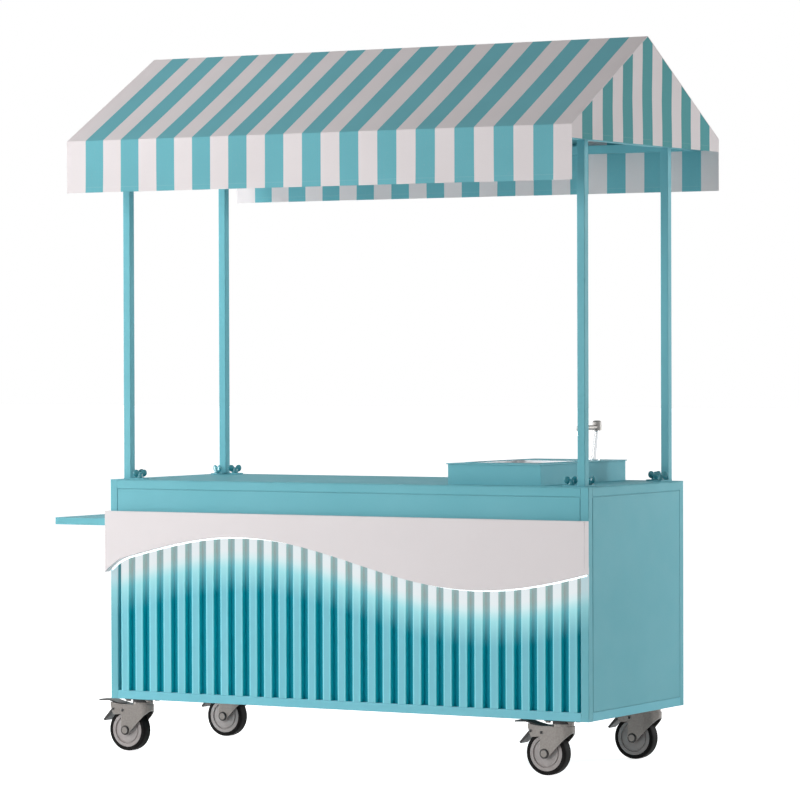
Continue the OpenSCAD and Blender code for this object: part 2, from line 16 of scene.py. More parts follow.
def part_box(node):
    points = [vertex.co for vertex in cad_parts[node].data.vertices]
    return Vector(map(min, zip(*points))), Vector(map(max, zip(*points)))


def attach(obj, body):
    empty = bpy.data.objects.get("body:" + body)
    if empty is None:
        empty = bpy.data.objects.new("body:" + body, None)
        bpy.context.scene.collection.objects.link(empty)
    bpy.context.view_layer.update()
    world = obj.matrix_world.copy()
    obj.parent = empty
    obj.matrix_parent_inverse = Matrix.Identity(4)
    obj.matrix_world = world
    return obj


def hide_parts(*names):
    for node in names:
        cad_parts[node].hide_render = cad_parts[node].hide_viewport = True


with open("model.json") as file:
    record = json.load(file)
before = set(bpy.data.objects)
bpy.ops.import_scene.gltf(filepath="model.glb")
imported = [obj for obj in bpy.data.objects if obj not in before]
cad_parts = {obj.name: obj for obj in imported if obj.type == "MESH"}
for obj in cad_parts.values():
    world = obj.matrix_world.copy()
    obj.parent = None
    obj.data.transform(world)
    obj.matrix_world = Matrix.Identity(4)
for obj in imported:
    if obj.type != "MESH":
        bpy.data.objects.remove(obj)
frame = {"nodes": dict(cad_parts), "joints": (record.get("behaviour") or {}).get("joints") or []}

bl_info = {
    "name": "Food cart",
    "version": (1, 0, 0),
    "blender": (4, 5, 0),
    "location": "3D View > Sidebar > Food cart",
    "description": "Dresses the street food cart's parts with paint, cloth, metal and light",
    "category": "Object",
}

CORNERS = ("front_left", "front_right", "rear_left", "rear_right")
SAME_POINT = 1e-6       # points nearer than this are one


# ---------------------------------------------------------------- places from the frame

def middle(node):
    """Centre of a part's box."""
    low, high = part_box(node)
    return (low + high) / 2


def joint_place(name):
    """Place of a joint at rest."""
    return Vector(next(joint for joint in frame["joints"] if joint["name"] == name)["pos_m"])


CABINET = middle("cabinet_uprights")
PANEL_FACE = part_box("fluted_panel")[0].y      # front face of the ribs
BOARD_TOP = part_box("fascia_board")[1].z
COVER_LOW, COVER_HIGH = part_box("canopy_cover")
GABLE_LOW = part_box("gable_right")[0].z


def linear(code):
    """Scene-linear colour of a screen colour such as '#7cc4ce'."""
    parts = [int(code[i:i + 2], 16) / 255 for i in (1, 3, 5)]
    return [p / 12.92 if p <= 0.04045 else ((p + 0.055) / 1.055) ** 2.4 for p in parts]


# ---------------------------------------------------------------- settings

def colour(name, description, code):
    return bpy.props.FloatVectorProperty(name=name, description=description, subtype="COLOR",
                                         size=3, min=0, max=1, default=linear(code))


def number(name, description, default, **kind):
    return bpy.props.FloatProperty(name=name, description=description, default=default, **kind)


def length(name, description, default):
    return number(name, description, default, min=0, subtype="DISTANCE", unit="LENGTH")


def factor(name, description, default):
    return number(name, description, default, min=0, max=1, subtype="FACTOR")


def strength(name, description, default):
    return number(name, description, default, min=0)


def turn(name, description, degrees):
    return number(name, description, math.radians(degrees), subtype="ANGLE", unit="ROTATION")


class CartPaintSettings(bpy.types.PropertyGroup):
    body: colour("Body", "Powder coat of the frame, panels and posts", "#70bac6")
    rib: colour("Rib", "Paler coat of the ribs' front faces and the base rails", "#7ac8d7")
    # Painted highlight: colour laid on the ribs' edges, where they would catch the light.
    arris_highlight: colour("Arris", "Coat of the ribs' rounded edges, which catch the light", "#90eaf4")
    # Painted shade: the groove walls take a deeper, more saturated teal than the ribs, and the groove
    # backs a darker one still, as shade in the recesses.
    groove_shade: colour("Groove", "Deeper coat of the walls of the grooves between the ribs", "#0ac6d2")
    groove_back_shade: colour("Groove back", "Deeper coat at the back of the grooves", "#0298ac")
    nut: colour("Wing nut", "Coat of the wing nuts", "#2c909d")
    floor: colour("Floor panel", "Coat of the cabinet's floor panel", "#4f8f99")
    board: colour("Wave board", "Lacquer of the wave-edged board", "#e1dadb")
    post: length("Post", "Side of a canopy post", 0.024)
    nut_x: length("Nut along", "From a post's middle to its inner wing nut", 0.038)
    nut_y: length("Nut across", "From a post's middle to its side wing nut", 0.042)
    peel: length("Orange peel", "Width of the coat's fine waves", 0.0025)
    peel_depth: length("Peel depth", "Depth of the coat's fine waves", 0.00006)
    drift: length("Drift", "Size of the coat's slow changes of tone", 0.35)
    speck: length("Speck", "Size of the coat's fine specks", 0.0011)
    # Depths over which the painted shade of the grooves comes in. The painted glow below the strip is
    # dimmed over the same depths.
    groove_start: length("Groove start", "Depth behind the ribs where the deeper coat starts", 0.0015)
    groove_full: length("Groove full", "Depth behind the ribs where the deeper coat is full", 0.0040)
    edge: length("Edge", "Width of the softened edges", 0.0014)
    ribs: bpy.props.IntProperty(name="Ribs", description="Ribs across the front", default=31, min=1)
    rib_width: length("Rib width", "Width of one rib", 0.0265)
    # Width of the painted highlight along the ribs' edges.
    arris_highlight_width: length("Rib round", "Width of the ribs' rounded edges that catch the light", 0.0052)
    # Strength of the painted highlight that lightens the edges of the coat and of the lacquered
    # board.
    edge_highlight: factor("Wear", "How much the coat is rubbed lighter along its edges", 0.22)


class CartLightSettings(bpy.types.PropertyGroup):
    glow: colour("Glow", "Colour of the light strip", "#f4feff")
    power: strength("Power", "Radiance of the light strip", 1.2)
    pitch: length("LED pitch", "Distance between the lamps inside the strip", 0.0083)
    # Wash to Ends: a glow painted on the ribs and uprights as emission, in place of the light that
    # the strip throws on them.
    wash: colour("Wash", "Light that the strip throws on the ribs just below it", "#e3ebee")
    inner: colour("Inner wash", "Its light just below the strip in the grooves", "#e3d9cb")
    far: colour("Far wash", "Its light further down the ribs", "#b3edf0")
    deep: colour("Deep wash", "Its light further down in the grooves", "#b0edf0")
    core: length("Core", "How far below the board the wash stays white", 0.039)
    full: length("Full", "How far below the board the wash stays full", 0.059)
    reach: length("Reach", "How far below the board the wash is seen", 0.164)
    blend: length("Blend", "Height over which the wash turns from white to its far tint", 0.050)
    start: length("Start", "How far above the board's lower edge the wash starts", 0.020)
    fall: strength("Fall", "How steeply the wash falls off; 1 is evenly", 1.25)
    dim: factor("Dim", "Share of the wash that reaches into the grooves", 0.385)
    ends: factor("Ends", "Share of the wash that reaches the uprights at both ends", 0.55)
    mean: length("Board", "Mean height of the wave board", 0.135)
    rise: length("Rise", "Rise and fall of the board's lower edge", 0.066)
    wave: length("Wave", "Length of one whole wave", 1.578)
    crest: length("Crest", "Place of the wave's crest, left of the cabinet's middle", 0.331)


class CartClothSettings(bpy.types.PropertyGroup):
    pale: colour("Pale stripe", "White stripe of the canopy cloth", "#e6dfe0")
    teal: colour("Teal stripe", "Teal stripe of the canopy cloth", "#6fb6c1")
    # Painted shade: the gables are of the same cloth as the cover, given a deeper teal because the
    # ends lie in less light.
    gable: colour("Gable stripe", "Deeper teal stripe of the gable cloths", "#5aa1a5")
    stripe: length("Stripe", "Width of one stripe", 0.062)
    shift: length("Shift", "How far the stripes start inside the cover's left end", 0.005)
    drop: length("Valance", "Drop of the valance below the eaves", 0.152)
    thickness: length("Thickness", "Thickness of the cloth", 0.0012)
    fold: length("Fold", "Radius of the fold over the eaves and the ridge", 0.002)
    hem: length("Hem", "Height of the stitched hem", 0.018)
    seam: length("Seam", "From the hem's upper edge down to its row of stitches", 0.003)
    sag: length("Sag", "How far the roof sinks between the rafters", 0.003)
    drawn: length("Drawn in", "How far a gable cloth is drawn in at its middle", 0.0021)
    gap: length("Gap", "Gap between a gable cloth's edge and the cover", 0.0004)
    tuck: length("Tuck", "How far a gable cloth sits inside the cover's end", 0.0003)
    wave: length("Wave", "How far the valance wanders out of its plane", 0.0012)
    thread: length("Thread", "Distance between the weave's threads", 0.0011)
    slub: length("Slub", "Size of the cloth's slubs before they are drawn out", 0.004)
    relief: length("Relief", "Height of the weave and its stitches", 0.00025)
    stitch: length("Stitch", "Length of one stitch with its gap", 0.0048)
    sewn: factor("Sewn", "Share of a stitch that shows", 0.68)


class CartMetalSettings(bpy.types.PropertyGroup):
    basin: colour("Basin", "Brushed steel of the basin", "#c4c7ca")
    lip: length("Lip", "How far down from its top the basin is coated", 0.0022)
    chrome: colour("Tap", "Chrome of the tap", "#e4e6e8")
    tap_head: colour("Tap head", "Duller metal of the tap's head", "#8a8784")
    head: length("Head", "Height of the tap's head", 0.0298)
    zinc: colour("Zinc", "Zinc plating of the forks and the plate bolts", "#736e6a")
    black: colour("Black", "Black coating of the plates, pedals, rivets and axle rings", "#1d1b1b")
    rim: colour("Wheel centre", "Moulded centre of a wheel", "#a09896")
    tyre: colour("Tyre", "Rubber of the tyres", "#141212")
    pressed: length("Pressed edge", "Width of the softened edges of pressed steel", 0.0008)
    moulded: length("Moulded edge", "Width of the softened edges of rims and coated steel", 0.0006)
    plate: length("Plate", "Thickness of a caster's plate", 0.003)
    cap: length("Cap", "How far an axle cap stands off the fork's side", 0.004)
    rivet_x: length("Rivet along", "From the brake pin to the rivet in front of it", 0.034)
    rivet_z: length("Rivet below", "From the brake pin down to the rivet in front of it", 0.003)
    bolt: length("Bolt", "Width across the flats of the plate bolts", 0.013)
    bolt_head: length("Bolt head", "Height of the plate bolts' heads", 0.0045)
    bolt_x: length("Bolts along", "From the swivel axis to the plate bolts, along the cart", 0.036)
    bolt_y: length("Bolts across", "From the swivel axis to the plate bolts, across the cart", 0.023)


class CartStageSettings(bpy.types.PropertyGroup):
    azimuth: turn("Azimuth", "Camera's place round the cart", 30.2196)
    distance: length("Distance", "Camera's distance from the cabinet in plan", 11.3898)
    height: length("Height", "Camera's height above the floor", 1.19294)
    heading: turn("Heading", "Turn of the camera's view about the upright", 30.1175)
    pitch: turn("Pitch", "How far the camera looks down", 0.7432)
    roll: turn("Roll", "Turn of the camera about its own view", -0.1744)
    lens: number("Lens", "Focal length for a 36 mm sensor", 174.377, min=1,
                 subtype="DISTANCE_CAMERA")
    ambient: strength("Ambient", "Light from all round", 0.20)
    front: strength("Front lamp", "Power of the broad lamp at the front", 182.0)
    left: strength("Left lamp", "Power of the low lamp at the shelf's end", 175.0)
    roof: strength("Roof lamp", "Power of the lamp above the roof's left end", 31.0)
    rear: strength("Rear lamp", "Power of the broad lamp behind the sink's end", 158.0)
    floor: colour("Floor", "Studio floor", "#f6f6f6")
    lift: factor("Floor lift", "How white the floor looks where nothing shades it", 0.86)


# ---------------------------------------------------------------- finishes

class Finish:
    """A new material, with the steps of node work that the finishes share."""

    def __init__(self, name):
        self.material = bpy.data.materials.new(name)
        self.material.use_nodes = True
        self.tree = self.material.node_tree
        self.shader = self.tree.nodes["Principled BSDF"]
        self.object_place = self.add("ShaderNodeTexCoord").outputs["Object"]

    def add(self, kind, **settings):
        node = self.tree.nodes.new(kind)
        for key, value in settings.items():
            setattr(node, key, value)
        return node

    def feed(self, socket, value):
        """Links an output to a socket, or sets the socket to a constant."""
        if isinstance(value, bpy.types.NodeSocket):
            self.tree.links.new(value, socket)
        else:
            socket.default_value = value

    def set(self, **values):
        """Sets the shader's own sockets; an underscore stands for a space."""
        for key, value in values.items():
            self.feed(self.shader.inputs[key.replace("_", " ")], value)

    def math(self, operation, a, b=0.0):
        node = self.add("ShaderNodeMath", operation=operation)
        self.feed(node.inputs[0], a)
        self.feed(node.inputs[1], b)
        return node.outputs[0]

    def times(self, a, b):
        return self.math("MULTIPLY", a, b)

    def axis(self, place, index):
        """One coordinate of a place or a direction."""
        node = self.add("ShaderNodeSeparateXYZ")
        self.feed(node.inputs[0], place)
        return node.outputs[index]

    def stretch(self, place, x, y, z):
        """Scales a place; a pattern read there is drawn out along the axes that are under 1."""
        node = self.add("ShaderNodeMapping")
        self.feed(node.inputs["Vector"], place)
        node.inputs["Scale"].default_value = (x, y, z)
        return node.outputs[0]

    def noise(self, size, detail=2.0, place=None):
        """Even noise whose blotches are about size metres across."""
        node = self.add("ShaderNodeTexNoise")
        self.feed(node.inputs["Vector"], place or self.object_place)
        node.inputs["Scale"].default_value = 1 / size
        node.inputs["Detail"].default_value = detail
        return node.outputs["Fac"]

    def blotches(self, size, start=0.0, end=1.0):
        """Even noise whose common values are spread over start..end."""
        return self.between(self.noise(size, 3.0), 0.3, 0.7, start, end)

    def between(self, value, low, high, start=0.0, end=1.0):
        """Maps value from low..high to start..end, clamped."""
        node = self.add("ShaderNodeMapRange")
        self.feed(node.inputs["Value"], value)
        ends = {"From Min": low, "From Max": high, "To Min": start, "To Max": end}
        for key, number in ends.items():
            node.inputs[key].default_value = number
        return node.outputs[0]

    def mix(self, share, first, second):
        """Colour between first, where share is 0, and second; 6, 7 and 2 are colour sockets."""
        node = self.add("ShaderNodeMix", data_type="RGBA")
        self.feed(node.inputs[0], share)
        for socket, tint in ((node.inputs[6], first), (node.inputs[7], second)):
            self.feed(socket, tint if isinstance(tint, bpy.types.NodeSocket) else (*tint, 1.0))
        return node.outputs[2]

    def facing(self, index):
        """One axis of the way that the surface faces."""
        return self.axis(self.add("ShaderNodeNewGeometry").outputs["Normal"], index)

    def soft_edge(self, radius):
        """Normal of edges rounded by radius, and how near a point is to such an edge."""
        bevel = self.add("ShaderNodeBevel", samples=4)
        bevel.inputs["Radius"].default_value = radius
        flat = self.add("ShaderNodeNewGeometry").outputs["Normal"]
        dot = self.add("ShaderNodeVectorMath", operation="DOT_PRODUCT")
        self.feed(dot.inputs[0], bevel.outputs[0])
        self.feed(dot.inputs[1], flat)
        return bevel.outputs[0], self.between(dot.outputs["Value"], 0.995, 0.75)

    def bump(self, height, distance, normal=None, amount=1.0):
        node = self.add("ShaderNodeBump")
        node.inputs["Strength"].default_value = amount
        node.inputs["Distance"].default_value = distance
        self.feed(node.inputs["Height"], height)
        if normal:
            self.feed(node.inputs["Normal"], normal)
        return node.outputs[0]

    def grain(self, size, depth, normal=None, detail=2.0):
        """Normal of a skin whose grain is size wide and depth high, in metres."""
        return self.bump(self.noise(size, detail), depth, normal)


def lighter(tint, share):
    """A tint with a share of white."""
    return [t + (1 - t) * share for t in tint]


def darker(tint, share):
    """A tint with a share of black."""
    return [t * (1 - share) for t in tint]


def coat_tint(coat, tint, paint):
    """Soft-edge normal and the colour of a coat: drifting tone, fine specks, and a painted highlight
    along its edges.
    """
    normal, edge = coat.soft_edge(paint.edge)
    base = coat.mix(coat.blotches(paint.drift), darker(tint, 0.05), lighter(tint, 0.03))
    speck = coat.between(coat.noise(paint.speck, 1.0), 0.55, 0.8, 0.0, 0.3)
    base = coat.mix(speck, base, lighter(tint, 0.10))
    # Painted highlight: the coat is lightened near its edges, as if they caught the light.
    return normal, coat.mix(coat.times(edge, paint.edge_highlight), base, lighter(tint, 0.55))


def coat_skin(coat, paint, normal, gloss, rough):
    """Fine orange peel and satin gloss of a coat; rough is its roughness where it is smoothest."""
    coat.set(Normal=coat.grain(paint.peel, paint.peel_depth, normal, detail=1.0),
             Roughness=coat.blotches(0.05, rough, rough + 0.10),
             Specular_IOR_Level=gloss)


def powder_coat(name, tint, paint, gloss=0.10, rough=0.46):
    """Satin powder coat."""
    coat = Finish(name)
    normal, base = coat_tint(coat, tint, paint)
    coat.set(Base_Color=base)
    coat_skin(coat, paint, normal, gloss, rough)
    return coat.material


def lit_coat(name, tint, paint, light, grooved):
    """Powder coat of the front, with the light strip's glow painted on below it as emission, where
    the base colour gives way; a fluted front has painted shade in its grooves, a deeper teal, and
    painted highlights on its ribs' edges, and takes less of the painted glow in the grooves."""
    coat = Finish(name)
    normal, base = coat_tint(coat, tint, paint)
    behind = coat.between(coat.axis(coat.object_place, 1),
                          PANEL_FACE + paint.groove_start, PANEL_FACE + paint.groove_full)
    if grooved:
        # Painted highlight along the edges of the ribs.
        base = coat.mix(arris_highlight_mask(coat, paint), base, paint.arris_highlight)
        # Painted shade: the walls of the grooves and, deeper in, their backs take darker teal.
        back = coat.between(coat.facing(1), -0.3, -0.7)
        base = coat.mix(behind, base, coat.mix(back, paint.groove_shade, paint.groove_back_shade))
    # Painted light: the strip's glow is painted as emission that fades with the distance below the
    # board.
    below = strip_distance(coat, light)
    wash = coat.math("POWER", coat.between(below, light.reach, light.full), light.fall)
    outer, inner = (1.0, light.dim) if grooved else (light.ends, 0.0)
    share = coat.between(behind, 0.0, 1.0, outer, inner)
    under = coat.math("GREATER_THAN", below, -light.start)
    wash = coat.times(coat.times(wash, share), under)
    near = coat.mix(behind, light.wash, light.inner)
    far = coat.mix(behind, light.far, light.deep)
    tinted = coat.mix(coat.between(below, light.core, light.core + light.blend), near, far)
    # Where the glow is painted, the base colour gives way to black and the emission carries the
    # colour.
    coat.set(Base_Color=coat.mix(wash, base, (0.0, 0.0, 0.0)),
             Emission_Color=tinted, Emission_Strength=wash)
    coat_skin(coat, paint, normal, gloss=0.12, rough=0.46)
    return coat.material


def arris_highlight_mask(coat, paint):
    """Mask of the painted highlight on the fluted front: 1 at the edge of a rib, 0 further in."""
    left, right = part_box("fluted_panel")
    pitch = (right.x - left.x) / paint.ribs
    along = coat.math("SUBTRACT", coat.axis(coat.object_place, 0), left.x)
    across = coat.math("PINGPONG", along, pitch / 2)
    edge = (pitch - paint.rib_width) / 2
    return coat.between(across, edge + paint.arris_highlight_width, edge + paint.arris_highlight_width / 3)


def strip_distance(coat, light):
    """How far a point lies below the wave board's lower edge."""
    x, z = coat.axis(coat.object_place, 0), coat.axis(coat.object_place, 2)
    along = coat.math("SUBTRACT", x, CABINET.x - light.crest)
    turns = coat.times(along, 2 * math.pi / light.wave)
    edge = coat.math("MULTIPLY_ADD", coat.math("COSINE", turns), light.rise)
    edge.node.inputs[2].default_value = BOARD_TOP - light.mean
    return coat.math("SUBTRACT", edge, z)


def lacquered_board(name, tint, paint):
    """White lacquer over board: very fine stipple, rounded arrises, a faint painted highlight along
    the edges.
    """
    board = Finish(name)
    normal, edge = board.soft_edge(paint.edge)
    base = board.mix(board.blotches(0.5), darker(tint, 0.025), tint)
    # Painted highlight along the board's edges.
    base = board.mix(board.times(edge, paint.edge_highlight), base, lighter(tint, 0.6))
    board.set(Base_Color=base, Normal=board.grain(0.0012, 0.00004, normal),
              Roughness=board.blotches(0.08, 0.40, 0.52), Specular_IOR_Level=0.4)
    return board.material


def lit_silicone(name, light):
    """Milky light strip: the lamps inside show as a faint beat along its length."""
    strip = Finish(name)
    along = strip.axis(strip.object_place, 0)
    beat = strip.math("SINE", strip.times(along, 2 * math.pi / light.pitch))
    hot = strip.between(beat, -1.0, 1.0, 0.92 * light.power, 1.08 * light.power)
    strip.set(Base_Color=(*light.glow, 1.0), Roughness=0.35,
              Emission_Color=(*light.glow, 1.0), Emission_Strength=hot)
    return strip.material


def striped_cloth(name, cloth, tint, start, seams):
    """Woven canopy cloth with broad stripes of tint across U, from the stripe that begins at
    start, and a row of stitches at each V in seams. U and V are metres on the flat cloth."""
    weave = Finish(name)
    place = weave.add("ShaderNodeUVMap", uv_map="cloth").outputs[0]
    across, along = weave.axis(place, 0), weave.axis(place, 1)
    passed = weave.math("DIVIDE", weave.math("SUBTRACT", across, start), cloth.stripe)
    count = weave.math("MAXIMUM", weave.math("FLOOR", passed), 0.0)
    odd = weave.math("PINGPONG", count, 1.0)
    tone = weave.blotches(0.25)
    pale = weave.mix(tone, darker(cloth.pale, 0.035), cloth.pale)
    teal = weave.mix(tone, darker(tint, 0.07), tint)
    base = weave.mix(odd, pale, teal)
    slub = weave.noise(cloth.slub, 2.0, weave.stretch(weave.object_place, 6.0, 6.0, 0.5))
    base = weave.mix(weave.between(slub, 0.62, 0.8, 0.0, 0.22), base, darker(cloth.pale, 0.3))

    warp = weave.math("SINE", weave.times(across, 2 * math.pi / cloth.thread))
    weft = weave.math("SINE", weave.times(along, 2 * math.pi / cloth.thread))
    threads = weave.times(warp, weft)
    row = 0.0
    for seam in seams:
        off = weave.math("ABSOLUTE", weave.math("SUBTRACT", along, seam))
        row = weave.math("MAXIMUM", weave.between(off, 0.0009, 0.0006), row)
    dash = weave.math("FRACT", weave.math("DIVIDE", across, cloth.stitch))
    stitches = weave.times(row, weave.math("LESS_THAN", dash, cloth.sewn))
    base = weave.mix(weave.times(stitches, 0.10), base, lighter(cloth.pale, 0.4))
    sewn = weave.math("SUBTRACT", stitches, weave.times(row, 0.6))
    height = weave.math("ADD", weave.times(threads, 0.25), sewn)
    weave.set(Base_Color=base, Normal=weave.bump(height, cloth.relief, amount=0.6),
              Roughness=weave.between(threads, -1.0, 1.0, 0.86, 0.74),
              Specular_IOR_Level=0.08, Sheen_Weight=0.04, Sheen_Roughness=0.5)
    return weave.material


def brushed_steel(name, tint, lip_tint, lip_z):
    """Satin sheet steel with a fine grain that runs front to back and small handling marks;
    above lip_z it is coated like the sheet that its lip rests on."""
    steel = Finish(name)
    grain = steel.noise(0.0008, 3.0, steel.stretch(steel.object_place, 1.0, 0.02, 1.0))
    marks = steel.between(steel.noise(0.03, 4.0), 0.35, 0.7)
    base = steel.mix(marks, darker(tint, 0.12), tint)
    lip = steel.math("GREATER_THAN", steel.axis(steel.object_place, 2), lip_z)
    steel.set(Base_Color=steel.mix(lip, base, lip_tint), Metallic=steel.math("SUBTRACT", 1.0, lip),
              Roughness=steel.between(grain, 0.3, 0.7, 0.28, 0.44), Anisotropic=0.4,
              Specular_IOR_Level=0.03, Normal=steel.bump(grain, 0.00004))
    return steel.material


def chrome(name, tint, head_tint=None, head_z=0.0):
    """Bright plating with a breath of haze and water spots; with a head_tint, what lies above
    head_z is of that duller metal."""
    bright = Finish(name)
    spots = bright.between(bright.noise(0.006, 3.0), 0.62, 0.72)
    base = bright.mix(spots, tint, darker(tint, 0.14))
    haze = bright.between(spots, 0.0, 1.0, 0.16, 0.28)
    if head_tint:
        head = bright.math("GREATER_THAN", bright.axis(bright.object_place, 2), head_z)
        base = bright.mix(head, base, head_tint)
        haze = bright.math("MAXIMUM", haze, bright.times(head, 0.5))
    bright.set(Base_Color=base, Metallic=1.0, Roughness=haze)
    return bright.material


def zinc_plate(name, tint, edge_width):
    """Zinc-plated pressed steel: soft spangle, dull patches, a painted highlight along the pressed
    edges.
    """
    zinc = Finish(name)
    normal, edge = zinc.soft_edge(edge_width)
    patch = zinc.blotches(0.005)
    base = zinc.mix(patch, darker(tint, 0.07), lighter(tint, 0.03))
    # Painted highlight along the edges.
    base = zinc.mix(zinc.times(edge, 0.5), base, lighter(tint, 0.45))
    zinc.set(Base_Color=base, Metallic=0.75, Normal=zinc.grain(0.0015, 0.00005, normal, detail=3.0),
             Roughness=zinc.between(patch, 0.0, 1.0, 0.48, 0.34))
    return zinc.material


def moulded_rim(name, tint, edge_width):
    """Grey moulded wheel centre with a slightly mottled satin skin."""
    rim = Finish(name)
    normal, edge = rim.soft_edge(edge_width)
    mottle = rim.blotches(0.018)
    base = rim.mix(mottle, darker(tint, 0.08), lighter(tint, 0.05))
    # Painted highlight along the rim's edges.
    base = rim.mix(rim.times(edge, 0.35), base, lighter(tint, 0.5))
    rim.set(Base_Color=base, Normal=rim.grain(0.001, 0.00004, normal),
            Roughness=rim.between(mottle, 0.0, 1.0, 0.34, 0.46))
    return rim.material


def tyre_rubber(name, tint):
    """Dark rubber with patches of dust, which are duller."""
    rubber = Finish(name)
    dust = rubber.between(rubber.noise(0.02, 4.0), 0.35, 0.75, 0.0, 0.5)
    base = rubber.mix(dust, tint, lighter(tint, 0.03))
    rubber.set(Base_Color=base, Normal=rubber.grain(0.0012, 0.00008),
               Roughness=rubber.between(dust, 0.0, 0.5, 0.5, 0.66), Specular_IOR_Level=0.04)
    return rubber.material


def black_coat(name, tint, top_light_tint, edge_width):
    """Black coated steel, painted paler on the faces that look up, as light from above, broken up by
    scuffs, with a painted highlight along its edges.
    """
    black = Finish(name)
    normal, edge = black.soft_edge(edge_width)
    # Painted light: the faces that look up take the pale tint, as lit from above, and scuffs break it
    # up.
    painted_top_light = black.between(black.facing(2), 0.55, 0.9)
    scuff = black.between(black.noise(0.004, 4.0), 0.25, 0.6)
    with_lit_tops = black.mix(black.times(painted_top_light, scuff), tint, top_light_tint)
    # Painted highlight along the edges.
    base = black.mix(black.times(edge, 0.25), with_lit_tops, lighter(tint, 0.2))
    black.set(Base_Color=base, Normal=black.grain(0.001, 0.00004, normal),
              Roughness=black.between(scuff, 0.0, 1.0, 0.38, 0.5), Specular_IOR_Level=0.4)
    return black.material


def give(material, *nodes):
    """Puts a finish on parts of the frame."""
    for name in nodes:
        for holder in frame["nodes"][name].material_slots:
            holder.material = material


# ---------------------------------------------------------------- meshes

def new_piece(name, bm, material, body, smooth=True):
    """Makes an object of a bmesh and hangs it on a body."""
    mesh = bpy.data.meshes.new(name)
    bm.to_mesh(mesh)
    bm.free()
    mesh.materials.append(material)
    if smooth:
        mesh.shade_smooth()
    else:
        mesh.shade_flat()
    piece = bpy.data.objects.new(name, mesh)
    bpy.context.scene.collection.objects.link(piece)
    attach(piece, body)
    return piece


def cut_rows(bm, axis, places):
    """Cuts every face along planes square to an axis."""
    normal = Vector([1.0 if i == axis else 0.0 for i in range(3)])
    for place in places:
        bmesh.ops.bisect_plane(bm, geom=bm.verts[:] + bm.edges[:] + bm.faces[:],
                               plane_co=normal * place, plane_no=normal, dist=SAME_POINT)


def flat_cloth(width, tall):
    """One face of cloth, width along X and tall along Y, with its corner at the origin."""
    bm = bmesh.new()
    bmesh.ops.create_grid(bm, x_segments=1, y_segments=1, size=0.5)
    bmesh.ops.translate(bm, vec=(0.5, 0.5, 0), verts=bm.verts)
    bmesh.ops.scale(bm, vec=(width, tall, 1), verts=bm.verts)
    return bm


def mark_cloth(bm):
    """Keeps each point's place on the flat cloth as its UV."""
    layer = bm.loops.layers.uv.new("cloth")
    for face in bm.faces:
        for loop in face.loops:
            loop[layer].uv = loop.vert.co.xy


def crisp_rim(bm):
    """Keeps the shading of a cloth's faces apart from that of its cut edge."""
    for edge in bm.edges:
        edge.smooth = not edge.is_boundary


def thicken(piece, thickness):
    """Gives a cloth its thickness, inwards from its outer face."""
    wall = piece.modifiers.new("thickness", "SOLIDIFY")
    wall.thickness = thickness
    wall.offset = -1
    wall.use_even_offset = True


VALANCE_FREE = 0.7      # share of the valance's drop that is free to wander
VALANCE_LATE = 1.9      # how far the rear valance's short wave is out of step, in radians
LONG_WAVE = 0.53        # lengths of the valance's two waves
SHORT_WAVE = 0.37
SHORT_SHARE = 0.6       # height of the short wave, as a share of the long one's
ROOF_ROWS = 9           # rows of cloth on one slope
VALANCE_ROWS = 4        # rows of cloth on one valance


